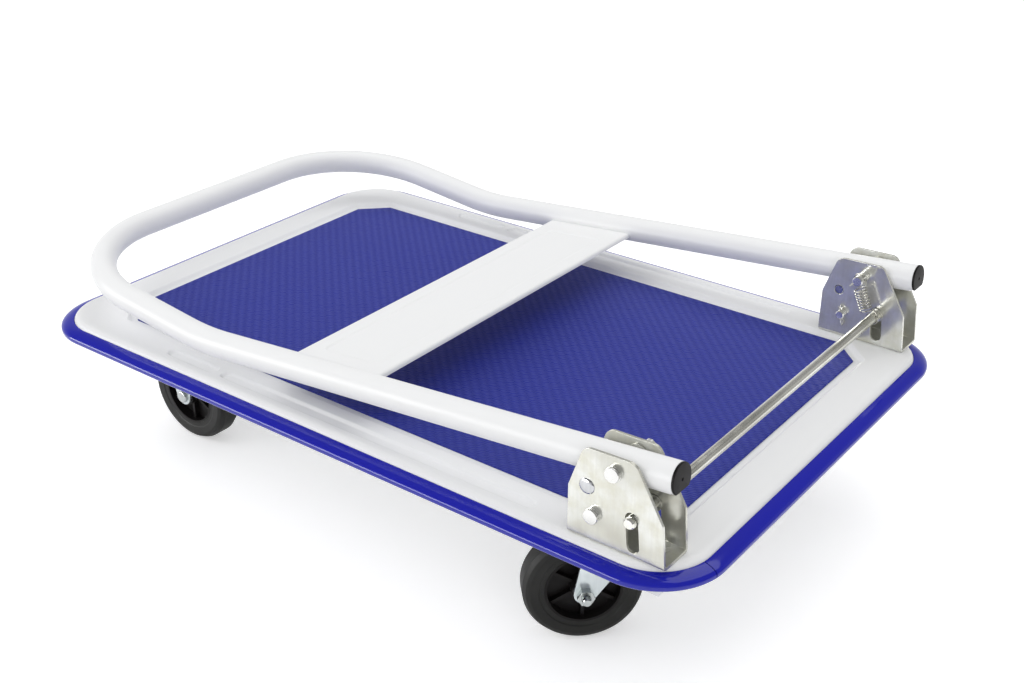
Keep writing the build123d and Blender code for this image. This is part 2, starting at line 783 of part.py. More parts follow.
def wheel_tyre():
    """Solid rubber tyre with rounded shoulders."""
    depth = wheel_radius - tyre_bore / 2
    section = Pos(wheel_radius - depth / 2, 0) * Rectangle(depth, tyre_width)
    section = fillet(section.vertices().group_by(Axis.X)[-1], tyre_shoulder)
    return revolve(section, Axis.Y)


def group(solids):
    """Several equal pieces kept together as separate solids."""
    return Compound(children=list(solids))


def both_sides(pieces):
    """A group of pieces drawn about the tube's own plane, on the left and on the right."""
    return group([on_side(piece, side) for side in sides.values() for piece in pieces])


# The assembly

fixed_x = -deck_length / 2 + fixed_inset
swivel_x = deck_length / 2 - swivel_inset
castor_y = deck_width / 2 - castor_side_inset
rail_bolts = [(x, side * castor_y + y) for side in sides.values() for x, y in castor_bolt_places()]

parts["deck_panel"] = deck_panel()
parts["deck_mat"] = slab(cut_corners(mat_length, mat_width, mat_corner_cut), pan_floor, mat_top)
parts["edge_bumper"] = edge_bumper()
parts["cross_rail_grip_end"] = cross_rail(fixed_x, rail_bolts)
parts["cross_rail_hinge_end"] = cross_rail(swivel_x, rail_bolts)

bracket_bolts = []
bracket_nuts = []
castor_bolts = []
castor_nuts = []
spring_form, spring_path = latch_spring()

for name, side in sides.items():
    parts[f"side_rail_{name}"] = side_rail(side)
    parts[f"hinge_bracket_{name}"] = hinge_bracket(side)
    parts[f"pivot_pin_{name}"] = on_side(headed_pin(pivot, pivot_pin, pivot_tail, pivot_cotter_turn), side)
    parts[f"stop_pin_{name}"] = on_side(headed_pin(stop_place(), stop_pin, stop_tail, stop_cotter_turn), side)
    parts[f"rest_pin_{name}"] = on_side(rest_rivet(), side)
    parts[f"latch_spring_{name}"] = on_side(spring_form, side)
    parts[f"end_plug_{name}"] = end_plug(side)
    for x, y in bracket_bolt_places():
        head_z = deck_top + bracket_steel
        length = bracket_steel + deck_steel + nut_per_thread * bracket_bolt + thread_past_nut
        bracket_bolts.append(Pos(x, side * y, head_z) * hex_bolt(bracket_bolt, length))
        nut_z = deck_top - deck_steel - nut_per_thread * bracket_bolt
        bracket_nuts.append(Pos(x, side * y, nut_z) * hex_nut(bracket_bolt))
    for x in (fixed_x, swivel_x):
        plate_place = Pos(x, side * castor_y, 0)
        for bolt_x, bolt_y in castor_bolt_places():
            spot = plate_place * Pos(bolt_x, bolt_y, 0)
            head_down = spot * Pos(0, 0, plate_under) * Rot(180, 0, 0)
            length = castor_plate_steel + cross_rail_steel + nut_per_thread * castor_bolt + thread_past_nut
            castor_bolts.append(head_down * hex_bolt(castor_bolt, length))
            castor_nuts.append(spot * Pos(0, 0, plate_top + cross_rail_steel) * hex_nut(castor_bolt))

parts["pivot_washers"] = both_sides(pivot_washers())
parts["pivot_cotters"] = both_sides([cotter(pivot, pivot_pin, pivot_tail, pivot_cotter_turn)])
parts["stop_cotters"] = both_sides([cotter(stop_place(), stop_pin, stop_tail, stop_cotter_turn)])
parts["latch_rod"] = latch_rod_bar()
parts["latch_clips"] = both_sides(latch_clips())
parts["bracket_bolts"] = group(bracket_bolts)
parts["bracket_nuts"] = group(bracket_nuts)
parts["castor_bolts"] = group(castor_bolts)
parts["castor_nuts"] = group(castor_nuts)
parts["handle_tube"] = handle_tube()
parts["handle_panel"] = handle_panel()

for name, side in sides.items():
    fixed_place = Pos(fixed_x, side * castor_y, 0) * Rot(0, 0, 180 if side < 0 else 0)
    swivel_place = Pos(swivel_x, side * castor_y, 0)
    swung = swivel_place * Rot(0, 0, swivel_turn)
    parts[f"fixed_fork_{name}"] = fixed_place * fixed_fork()
    parts[f"swivel_plate_{name}"] = swivel_place * swivel_plate()
    parts[f"king_pin_{name}"] = swivel_place * king_pin_rivet()
    parts[f"race_balls_{name}"] = group([swung * ball for ball in race_balls()])
    parts[f"swivel_fork_{name}"] = swung * swivel_fork()
    for kind, axle_place in (("fixed", fixed_place * Pos(0, 0, axle_z)),
                             ("swivel", swung * Pos(-swivel_trail, 0, axle_z))):
        parts[f"{kind}_axle_{name}"] = axle_place * axle_pin()
        parts[f"{kind}_axle_nut_{name}"] = axle_place * axle_nut()
        parts[f"{kind}_sleeve_{name}"] = axle_place * axle_sleeve()
        parts[f"{kind}_hub_{name}"] = axle_place * wheel_hub()
        parts[f"{kind}_tyre_{name}"] = axle_place * wheel_tyre()

os.makedirs("parts", exist_ok=True)
for node, piece in parts.items():
    export_step(Pos(frame_shift, 0, 0) * piece, f"parts/{node}.step")
print(f"latch spring: least gap to itself {least_gap(spring_path):.2f} mm")
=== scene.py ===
import json
from math import cos, pi, radians, sin, sqrt, tan

import bmesh
import bpy
import numpy as np
from mathutils import Matrix, Vector

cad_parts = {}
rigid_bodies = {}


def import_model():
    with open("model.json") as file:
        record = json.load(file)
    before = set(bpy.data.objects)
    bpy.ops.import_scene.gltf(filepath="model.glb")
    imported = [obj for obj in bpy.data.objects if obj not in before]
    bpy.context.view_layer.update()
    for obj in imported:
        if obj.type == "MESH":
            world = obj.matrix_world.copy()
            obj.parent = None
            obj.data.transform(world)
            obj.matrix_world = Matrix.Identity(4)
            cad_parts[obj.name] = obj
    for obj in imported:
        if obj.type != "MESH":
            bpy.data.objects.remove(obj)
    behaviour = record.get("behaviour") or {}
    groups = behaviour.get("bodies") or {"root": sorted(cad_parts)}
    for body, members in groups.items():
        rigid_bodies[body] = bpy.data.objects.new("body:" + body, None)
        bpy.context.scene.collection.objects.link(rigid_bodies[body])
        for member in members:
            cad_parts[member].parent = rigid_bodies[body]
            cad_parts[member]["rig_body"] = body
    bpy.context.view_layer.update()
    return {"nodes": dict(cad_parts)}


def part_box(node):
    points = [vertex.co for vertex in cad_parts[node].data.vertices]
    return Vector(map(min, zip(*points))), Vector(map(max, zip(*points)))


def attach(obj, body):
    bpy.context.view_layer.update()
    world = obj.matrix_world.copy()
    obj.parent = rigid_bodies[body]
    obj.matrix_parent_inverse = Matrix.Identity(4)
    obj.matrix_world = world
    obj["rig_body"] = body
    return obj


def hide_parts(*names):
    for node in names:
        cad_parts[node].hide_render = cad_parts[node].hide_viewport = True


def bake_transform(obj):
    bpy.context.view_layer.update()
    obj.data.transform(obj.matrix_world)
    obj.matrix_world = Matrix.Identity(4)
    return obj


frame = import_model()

# Sizes are in millimetres in the row frame; meshes are made in metres.
MM = 0.001

# Welding distances, and the angle in degrees under which a CAD node's faces count as flat
MESH_WELD = 0.004
CAD_WELD = 0.002
CAD_FLAT = 0.4

# Deck sheet: pan, border with pressed grooves, rolled rim
SHEET = 1.5
SHEET_CORNER = 49.0
RIM_ROLL = 7.0
RIM_STEP = 1.5
PAN_MARGIN = 9.5
PAN_SOFT = 1.2
PAN_LIP = 2.5
FLOOR_ROWS = (-30.0, -8.0)
BORDER_ROWS = (3.0, 6.0)
GROOVE_INSET = 18.0
GROOVE_WIDTH = 14.0
GROOVE_DEPTH = 2.6
GROOVE_WALL = 3.4
GROOVE_SPAN = 8.5
GROOVE_END_STEPS = np.arange(-9, 10) * 0.7
GROOVES = ((-205.3, -139.3), (-133.3, 221.5))
SHORT_SIDE_STEPS, LONG_SIDE_STEPS, CORNER_STEPS = 24, 50, 20

# Mat; the leg of a cut corner grows by CUT_GAIN for each millimetre that its outline grows
CUT_GAIN = 2 - sqrt(2)
MAT_CUT = 27.0
MAT_EDGE = 0.5
MAT_ROW = 7.9
MAT_STEPS = 8
MAT_ACROSS = 30
MAT_RELIEF = 0.25
MAT_HEM = 5.0
MAT_SCALE = 2.6
MAT_SHIFT = 0.37

# Bumper
BUMPER_NOSE = 10.2
BUMPER_ROUND = 3.0
BUMPER_FALL = 1.2
BUMPER_CROWD = 0.8
BUMPER_WALL = 2.5
BUMPER_INNER_ROUND = 1.5
BUMPER_EDGE = 0.6
BUMPER_LIP = 6.0
BUMPER_LIP_EDGE = 0.4
BUMPER_SEAM = 0.05
BUMPER_JOINT = 0.9
BUMPER_JOINT_ANGLE = 11.0
BUMPER_STEPS = (6, 28, 28, 28, 26)

# Pins; rows of pairs are steps in from the rim and steps along the pin
PIN_SIZE = {"pivot": 10.0, "stop": 8.5, "rest": 9.5}
PIN_CHAMFER = 0.9
PIN_STEPS = 48
HEAD_EDGE = ((1.0, 0.0), (0.35, 0.2), (0.0, 0.8))
HEAD_GROOVE = ((0.0, 0.5), (0.7, 0.3), (0.7, -0.3), (0.0, -0.5))
HEAD_FOOT = 0.2
ROD_CHAMFER = 1.1
ROD_STEPS = 40
ROD_GROOVE = ((0.0, 2.0), (0.5, 2.2), (0.5, 3.0), (0.0, 3.2))

# Cotters
COTTER_WIRE = 1.1
COTTER_EYE = 2.6
COTTER_EYE_RISE = 1.35
COTTER_EYE_START = -0.35 * pi
COTTER_LEG = 4.5
COTTER_SPREAD = 32.0
COTTER_BELOW = 0.6
COTTER_ABOVE = 0.4
COTTER_INSET = 3.5
COTTER_TURNS = {"pivot": {"left": -90.0, "right": 50.0}, "stop": {"left": 165.0, "right": 165.0}}

# Handle tube, its end plugs and the stop pin's notch
TUBE_RADIUS = 12.7
TUBE_WALL = 1.5
TUBE_STEPS = 48
BEND_STEPS = 30
TUBE_TAIL = 44.0
FOLD_SLOPE = 5.3
KINK_REACH = 457.4
KINK_ANGLE = 11.8
KINK_RADIUS = 250.0
GRIP_REACH = 216.5
GRIP_BEND = 113.0
PIVOT_HOLE = 5.1
HOLE_REACH = 20.0
STOP_REACH = 44.0
STOP_RADIUS = PIN_SIZE["stop"] / 2 + 0.3
STOP_DEPTH = TUBE_RADIUS + 0.2
NOTCH_REACH = 400.0
PLUG_CAP = 2.0
PLUG_SPIGOT = 8.0
PLUG_SLIP = 0.1
PLUG_EDGE = 0.6
PLUG_DIMPLE = ((1.6, 0.0), (0.9, 0.6), (0.0, 0.7))

# Cross panel
PANEL_REACH = 263.0
PANEL_WIDTH = 100.4
PANEL_DROP = 0.5
PANEL_FOLD = 4.5
PANEL_BEND = 3.0
PANEL_WELD = 0.4
PRESS_MARGIN = 17.0
PRESS_END_MARGIN = 26.0
PRESS_DEPTH = 0.9
PRESS_CORNER = 8.0
PRESS_WALL = 2.2
PRESS_STEPS = np.linspace(-9, 2, 16)

# Springs
SPRING_WIRE = 1.2
SPRING_RADIUS = 5.65
SPRING_OFFSET = 3.0
SPRING_STEPS = 40
SPRING_TURNS = 8
SPRING_PITCH = 2.75
HOOK_TURN = 250.0
HOOK_SLIP = 0.3

# Tyres; rows of pairs are steps from the bore or from the tread, and steps in from the side
TYRE_WIDTH = 27.5
TYRE_BORE = 66.0
TYRE_LIP = ((0, 1.2), (4, 1.2), (5, 0.4))
TYRE_SHOULDER = ((6, 0), (2.5, 1.5), (0, 6))
TYRE_SOFT = 1.2
TYRE_STEPS = 96

# Camera, floor and light: the camera's place is from the middle of the mat's top, and the floor
# and the lamps are in metres
CAMERA_PLACE = (735.48, -928.54, 598.32)
CAMERA_TURN = 37.0195
CAMERA_TILT = 27.2674
CAMERA_ROLL = 0.134
CAMERA_SENSOR = 36.0
CAMERA_LENS = 48.007
CAMERA_CLIP = 50.0
FLOOR_REACH = 9
FLOOR_GLOW = 0.4
WORLD_LIGHT = 0.6
DARK_SIDE = 0.75
DARK_RANGES = ((0, 0.15, 0.7), (2, 0.1, 0.55))
LAMP_TARGET = (0, 0, 0.12)

# Plating: how dark its dull patches and its drawing lines are
DULL_TONE = 0.74
DRAWN_TONE = 0.6


# Shapes: grids of points and the faces between them


def unit(v):
    v = np.asarray(v, float)
    return v / np.linalg.norm(v, axis=-1, keepdims=True)


def smooth(t):
    """Smooth step: 0 below 0, 1 above 1, level at both ends."""
    t = np.clip(t, 0.0, 1.0)
    return t * t * (3 - 2 * t)


def box(node):
    """Lowest and highest corner of a CAD node, in millimetres."""
    low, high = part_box(node)
    return np.array(low) / MM, np.array(high) / MM


def middle(node):
    low, high = box(node)
    return (low + high) / 2


def body_of(node):
    return frame["nodes"][node]["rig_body"]


def cells(rows, columns, round_rows=False, round_columns=True):
    """Four-sided faces of a grid of points; a direction that goes round is joined end to start."""
    r = np.arange(rows if round_rows else rows - 1)
    c = np.arange(columns if round_columns else columns - 1)
    r, c = np.meshgrid(r, c, indexing="ij")
    here, after = r * columns, (r + 1) % rows * columns
    c1 = (c + 1) % columns
    return np.stack([here + c, here + c1, after + c1, after + c], -1).reshape(-1, 4)


def surface(grid, round_rows=False, round_columns=True):
    """A grid of points (rows, columns, 3) with its faces."""
    grid = np.asarray(grid, float)
    return grid.reshape(-1, 3), cells(grid.shape[0], grid.shape[1], round_rows, round_columns)


def gathered(row):
    """A row of points drawn together at its middle."""
    return np.broadcast_to(row.mean(1, keepdims=True), row.shape)


def closed_ends(grid):
    """The grid with a row gathered at the middle of its first row and one at its last."""
    return np.concatenate([gathered(grid[:1]), grid, gathered(grid[-1:])])


def mesh_of(name, surfaces):
    """One welded mesh of several surfaces, with its faces turned outwards."""
    points, faces, start = [], [], 0
    for grid, quads in surfaces:
        points.append(grid)
        faces.append(quads + start)
        start += len(grid)
    mesh = bpy.data.meshes.new(name)
    mesh.from_pydata((np.concatenate(points) * MM).tolist(), [], np.concatenate(faces).tolist())
    work = bmesh.new()
    work.from_mesh(mesh)
    bmesh.ops.remove_doubles(work, verts=work.verts, dist=MESH_WELD * MM)
    bmesh.ops.dissolve_degenerate(work, edges=work.edges, dist=MESH_WELD * MM / 4)
    bmesh.ops.recalc_face_normals(work, faces=work.faces)
    work.to_mesh(mesh)
    work.free()
    return mesh


def linked(name, data):
    """A new object of this data, in the scene."""
    obj = bpy.data.objects.new(name, data)
    bpy.context.scene.collection.objects.link(obj)
    return obj


def put(name, mesh, look, body, nodes=(), sharp=38.0):
    """An object of this mesh that moves with a CAD body and stands for CAD nodes."""
    mesh.shade_smooth()
    mesh.set_sharp_from_angle(angle=radians(sharp))
    mesh.materials.clear()
    mesh.materials.append(look)
    obj = linked(name, mesh)
    if body:
        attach(obj, body)
    if nodes:
        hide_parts(*nodes)
    return obj


def piece(name, surfaces, look, body, nodes=(), sharp=38.0):
    return put(name, mesh_of(name, surfaces), look, body, nodes, sharp)


def less(mesh, cutters):
    """The mesh with the cutters' volumes taken away."""
    whole = linked("whole", mesh)
    bars = [linked("bar", cutter) for cutter in cutters]
    for bar in bars:
        step = whole.modifiers.new("cut", "BOOLEAN")
        step.object = bar
        step.operation = "DIFFERENCE"
        step.solver = "EXACT"
    bpy.context.view_layer.update()
    found = whole.evaluated_get(bpy.context.evaluated_depsgraph_get())
    result = bpy.data.meshes.new_from_object(found)
    for obj in bars + [whole]:
        bpy.data.objects.remove(obj)
    return result


def dressed(node, look, edge, sharp=35.0):
    """A copy of a CAD node that stands for it: welded, flat faces joined, edges rounded."""
    mesh = frame["nodes"][node].data.copy()
    work = bmesh.new()
    work.from_mesh(mesh)
    bmesh.ops.remove_doubles(work, verts=work.verts, dist=CAD_WELD * MM)
    bmesh.ops.dissolve_limit(
        work, angle_limit=radians(CAD_FLAT), verts=work.verts, edges=work.edges)
    work.to_mesh(mesh)
    work.free()
    obj = put(node + "_dressed", mesh, look, body_of(node), (node,), sharp)
    if edge:
        step = obj.modifiers.new("edge", "BEVEL")
        step.width = edge * MM
        step.segments = 2
        step.limit_method = "ANGLE"
        step.angle_limit = radians(sharp)
        step.harden_normals = True
    return obj


def rounded(corners, radii, steps):
    """Points along straight runs whose inner corners are arcs, each arc tangent to its runs."""
    corners = [np.asarray(c, float) for c in corners]
    runs = [corners[0][None]]
    for before, corner, after, radius in zip(corners, corners[1:], corners[2:], radii):
        back, on = unit(before - corner), unit(after - corner)
        half = np.arccos(np.clip(back @ on, -1, 1)) / 2
        centre = corner + unit(back + on) * radius / sin(half)
        first = corner + back * radius / tan(half) - centre
        last = corner + on * radius / tan(half) - centre
        turn = pi - 2 * half
        t = np.linspace(0, 1, steps)[:, None]
        arc = np.sin((1 - t) * turn) * first + np.sin(t * turn) * last
        runs.append(centre + arc / sin(turn))
    runs.append(corners[-1][None])
    return np.concatenate(runs)


def frames(path, up):
    """Directions across and up at each point of a path; up turns only as the path turns."""
    way = unit(np.gradient(path, axis=0))
    ups = np.empty_like(path)
    last = np.asarray(up, float)
    for i, along in enumerate(way):
        last = unit(last - (last @ along) * along)
        ups[i] = last
    return np.cross(ups, way), ups


def carried(path, section, up):
    """A section of (across, up) points carried along: point = path + across * side + up * top."""
    side, top = frames(path, up)
    section = np.asarray(section, float)[None]
    return path[:, None] + section[..., :1] * side[:, None] + section[..., 1:] * top[:, None]


def circle(radius, steps):
    angle = np.linspace(0, 2 * pi, steps, endpoint=False)
    return np.stack([radius * np.cos(angle), radius * np.sin(angle)], -1)


def wire(path, radius, up, steps=10):
    """A round wire along a path, closed at both ends by a flat cap."""
    return surface(closed_ends(carried(path, circle(radius, steps), up)))


def turned(profile, centre, axis, steps=64, round_rows=False):
    """A profile of (radius, height) turned about an axis: radius * (cos, sin), height along it."""
    profile = np.asarray(profile, float)
    axis = unit(axis)
    side = unit(np.cross(axis, (0, 0, 1) if abs(axis[2]) < 0.9 else (1, 0, 0)))
    other = np.cross(axis, side)
    angle = np.linspace(0, 2 * pi, steps, endpoint=False)
    spoke = np.cos(angle)[:, None] * side + np.sin(angle)[:, None] * other
    grid = np.asarray(centre) + profile[:, :1, None] * spoke[None] + profile[:, 1, None, None] * axis
    return surface(grid, round_rows)


def bar_y(x, z, y0, y1, radius, steps=48):
    """A round bar along Y, as a cutter."""
    profile = [(0, y0), (radius, y0), (radius, y1), (0, y1)]
    return mesh_of("bar", [turned(profile, (x, 0, z), (0, 1, 0), steps)])


def soft_profile(points, radius, steps=5):
    """A profile whose inner corners are rounded by one radius."""
    flat = [np.array([r, h, 0.0]) for r, h in points]
    return rounded(flat, [radius] * (len(points) - 2), steps)[:, :2]


def ring_of(half_x, half_y, corner, roundness, side_steps, corner_steps):
    """x and y round rectangles with cut or round corners, one row for each set of sizes.

    Each row goes along a side, then over a corner, four times. A corner point lies on the
    straight cut at roundness 0 and on the arc at roundness 1.
    """
    hx, hy, c, k = (np.asarray(v, float)[:, None] for v in (half_x, half_y, corner, roundness))
    xs, ys = [], []
    turn = np.linspace(0, 1, corner_steps, endpoint=False)[None]
    angle = turn * pi / 2
    for quarter in range(4):
        t = side_steps[quarter % 2][None]
        along, reach = (hy, hx) if quarter % 2 == 0 else (hx, hy)
        s = (2 * t - 1) * (along - c)
        a, b = cos(quarter * pi / 2), sin(quarter * pi / 2)
        xs.append(a * reach - b * s)
        ys.append(b * reach + a * s)
        cut_r, cut_s = reach - c * turn, along - c * (1 - turn)
        arc_r, arc_s = reach - c + c * np.cos(angle), along - c + c * np.sin(angle)
        r, s = cut_r + k * (arc_r - cut_r), cut_s + k * (arc_s - cut_s)
        xs.append(a * r - b * s)
        ys.append(b * r + a * s)
    return np.concatenate(xs, 1), np.concatenate(ys, 1)


# Looks; the node helpers serve looks and the world alike


def look_of(name, colour, rough, metallic=0.0, **values):
    """A procedural material: one shader, whose colour and roughness later nodes may vary."""
    mat = bpy.data.materials.new(name)
    mat.use_nodes = True
    shader = mat.node_tree.nodes["Principled BSDF"]
    shader.inputs["Base Color"].default_value = (*colour, 1)
    shader.inputs["Roughness"].default_value = rough
    shader.inputs["Metallic"].default_value = metallic
    for key, value in values.items():
        shader.inputs[key.replace("_", " ")].default_value = value
    return mat


def node(mat, kind, inputs=None, **settings):
    """A node with its settings, its constant inputs and its links from other nodes' outputs."""
    made = mat.node_tree.nodes.new(kind)
    for key, value in settings.items():
        setattr(made, key, value)
    for key, value in (inputs or {}).items():
        if isinstance(value, bpy.types.NodeSocket):
            mat.node_tree.links.new(value, made.inputs[key])
        else:
            made.inputs[key].default_value = value
    return made


def sums(mat, operation, *values):
    return node(mat, "ShaderNodeMath", dict(enumerate(values)), operation=operation).outputs[0]


def place_of(mat):
    return node(mat, "ShaderNodeTexCoord").outputs["Object"]


def noise(mat, scale, detail=3.0, rough=0.5, stretch=None):
    """Noise on object coordinates, in cells per metre, stretched if asked."""
    where = place_of(mat)
    if stretch:
        where = node(mat, "ShaderNodeMapping", {"Vector": where, "Scale": stretch}).outputs[0]
    inputs = {"Vector": where, "Scale": scale, "Detail": detail, "Roughness": rough}
    return node(mat, "ShaderNodeTexNoise", inputs).outputs["Fac"]


def ramp(mat, value, low, high, to_low=0.0, to_high=1.0):
    """The value from low to high mapped to another range."""
    inputs = {0: value, 1: low, 2: high, 3: to_low, 4: to_high}
    return node(mat, "ShaderNodeMapRange", inputs).outputs[0]


def clouds(mat, scale, low, high, detail=3.0):
    """Noise between two values, even at its ends."""
    return ramp(mat, noise(mat, scale, detail), 0.3, 0.7, low, high)


def mixed(mat, value, first, second):
    made = node(mat, "ShaderNodeMix", {"Factor": value}, data_type="RGBA")
    for socket, colour in ((6, first), (7, second)):
        if isinstance(colour, bpy.types.NodeSocket):
            mat.node_tree.links.new(colour, made.inputs[socket])
        else:
            made.inputs[socket].default_value = (*colour, 1)
    return made.outputs[2]


def feed(mat, name, value):
    mat.node_tree.links.new(value, mat.node_tree.nodes["Principled BSDF"].inputs[name])


def relief(mat, height, distance, strength=1.0):
    """Bump from a height of 0 to 1 that stands for this many metres."""
    inputs = {"Height": height, "Distance": distance, "Strength": strength}
    feed(mat, "Normal", node(mat, "ShaderNodeBump", inputs).outputs[0])


def mat_look():
    """Blue vinyl pressed in slanting rows of fine scales: rows t across, scales s along each row."""
    mat = look_of("blue_mat", (0.02, 0.03, 0.28), 0.5, Specular_IOR_Level=0.22)
    split = node(mat, "ShaderNodeSeparateXYZ", {0: place_of(mat)})
    x, y = split.outputs[0], split.outputs[1]
    t = sums(mat, "MULTIPLY", sums(mat, "ADD", x, y), 1 / (sqrt(2) * MAT_ROW * MM))
    s = sums(mat, "MULTIPLY", sums(mat, "SUBTRACT", y, x), 1 / (sqrt(2) * MAT_SCALE * MM))
    wobble = clouds(mat, 120.0, -0.5, 0.5, 2.0)
    step = sums(mat, "MULTIPLY", sums(mat, "ROUND", t), MAT_SHIFT)
    turn = sums(mat, "MULTIPLY", sums(mat, "ADD", sums(mat, "ADD", s, step), wobble), 2 * pi)
    bead = ramp(mat, sums(mat, "SINE", turn), -1.0, 1.0)
    row = ramp(mat, sums(mat, "COSINE", sums(mat, "MULTIPLY", t, 2 * pi)), -1.0, 1.0)
    height = sums(mat, "ADD", sums(mat, "MULTIPLY", row, 0.4), sums(mat, "MULTIPLY", bead, 0.6))
    relief(mat, bead, 0.0004, 0.6)
    cloud = sums(mat, "MULTIPLY", clouds(mat, 14.0, 0.0, 1.0), 0.3)
    # Painted shade and highlight: the blue is darker in the hollows of the pressed rows and scales and
    # lighter on their tops.
    hollow_shaded_tone = mixed(mat, height, (0.013, 0.022, 0.235), (0.033, 0.046, 0.345))
    feed(mat, "Base Color", mixed(mat, cloud, hollow_shaded_tone, (0.020, 0.028, 0.27)))
    feed(mat, "Roughness", ramp(mat, height, 0.0, 1.0, 0.55, 0.42))
    return mat


def plated(name, colour, rough, cloud, metallic=1.0, drawing=0.25):
    """Plated steel: cloudy tint and roughness, large dull patches, faint drawing lines along Z."""
    mat = look_of(name, colour, rough, metallic)
    clouded = tuple(c * k for c, k in zip(colour, cloud))
    dulled = tuple(c * DULL_TONE for c in clouded)
    patch = ramp(mat, noise(mat, 75.0, 6.0, 0.62), 0.38, 0.66)
    lines = noise(mat, 420.0, 2.0, 0.5, (1.0, 1.0, 0.08))
    dull = ramp(mat, noise(mat, 17.0, 2.0, 0.4), 0.42, 0.66)
    tint = mixed(mat, dull, mixed(mat, patch, colour, clouded), dulled)
    drawn = ramp(mat, lines, 0.3, 0.7, 0.0, drawing)
    feed(mat, "Base Color", mixed(mat, drawn, tint, tuple(c * DRAWN_TONE for c in colour)))
    feed(mat, "Roughness", ramp(mat, patch, 0.0, 1.0, rough - 0.04, rough + 0.05))
    relief(mat, lines, 0.00002, 0.15)
    return mat


white = look_of("white_enamel", (0.83, 0.835, 0.84), 0.34, Specular_IOR_Level=0.2)
feed(white, "Roughness", clouds(white, 26.0, 0.31, 0.37))
relief(white, noise(white, 240.0, 1.0), 0.00002, 0.1)

bumper_blue = look_of("blue_bumper", (0.009, 0.012, 0.36), 0.07, Specular_IOR_Level=0.42)
feed(bumper_blue, "Roughness", clouds(bumper_blue, 60.0, 0.06, 0.09))

mat_blue = mat_look()

zinc = plated("zinc", (0.77, 0.78, 0.745), 0.18, (0.86, 0.84, 0.76), 0.68)
steel = plated("bright_steel", (0.80, 0.80, 0.79), 0.16, (0.95, 0.95, 0.94), 0.88, 0.03)
rod_steel = plated("drawn_rod", (0.80, 0.80, 0.76), 0.2, (0.93, 0.92, 0.88), 0.95, 0.03)
nut_zinc = plated("grey_zinc", (0.60, 0.63, 0.63), 0.17, (0.9, 0.91, 0.9))
fork_zinc = plated("blue_zinc", (0.76, 0.82, 0.83), 0.22, (0.94, 0.95, 0.95), 0.7)
polished = plated("polished_steel", (0.56, 0.57, 0.59), 0.09, (0.95, 0.95, 0.94))
spring_wire = plated("spring_steel", (0.56, 0.55, 0.5), 0.12, (0.9, 0.9, 0.86))

plastic = look_of("black_plastic", (0.008, 0.007, 0.007), 0.42, Specular_IOR_Level=0.14)
relief(plastic, noise(plastic, 700.0), 0.00006, 0.3)
feed(plastic, "Roughness", clouds(plastic, 50.0, 0.36, 0.5))

rubber = look_of("black_tyre", (0.010, 0.010, 0.009), 0.6, Specular_IOR_Level=0.3)
relief(rubber, noise(rubber, 900.0, 4.0), 0.00008, 0.4)
feed(rubber, "Roughness", clouds(rubber, 40.0, 0.52, 0.68))


# Deck

sheet_low, sheet_high = box("deck_panel")
mat_low, mat_high = box("deck_mat")
centre_x = (mat_low[0] + mat_high[0]) / 2
sheet_half = (sheet_high - sheet_low)[:2] / 2
mat_half = (mat_high - mat_low)[:2] / 2
deck_top = sheet_high[2]
pan_floor = mat_low[2]
pan_depth = deck_top - pan_floor
floor_half = mat_half + PAN_MARGIN - pan_depth
floor_cut = MAT_CUT + (PAN_MARGIN - pan_depth) * CUT_GAIN
groove_line = sheet_half[1] - GROOVE_INSET


def groove_drop(x, y):
    """How far the pressed grooves sink the border, at x from its middle.

    The depth is full inside each round-ended slot and falls off by a smooth step at its wall.
    """
    drop = np.zeros_like(x)
    half = GROOVE_WIDTH / 2
    for start, end in GROOVES:
        reach = (end - start) / 2 - half
        over = np.maximum(np.abs(x - (start + end) / 2) - reach, 0)
        gap = np.hypot(over, np.abs(y) - groove_line)
        drop = np.maximum(drop, GROOVE_DEPTH * smooth((half - gap) / GROOVE_WALL))
    return drop


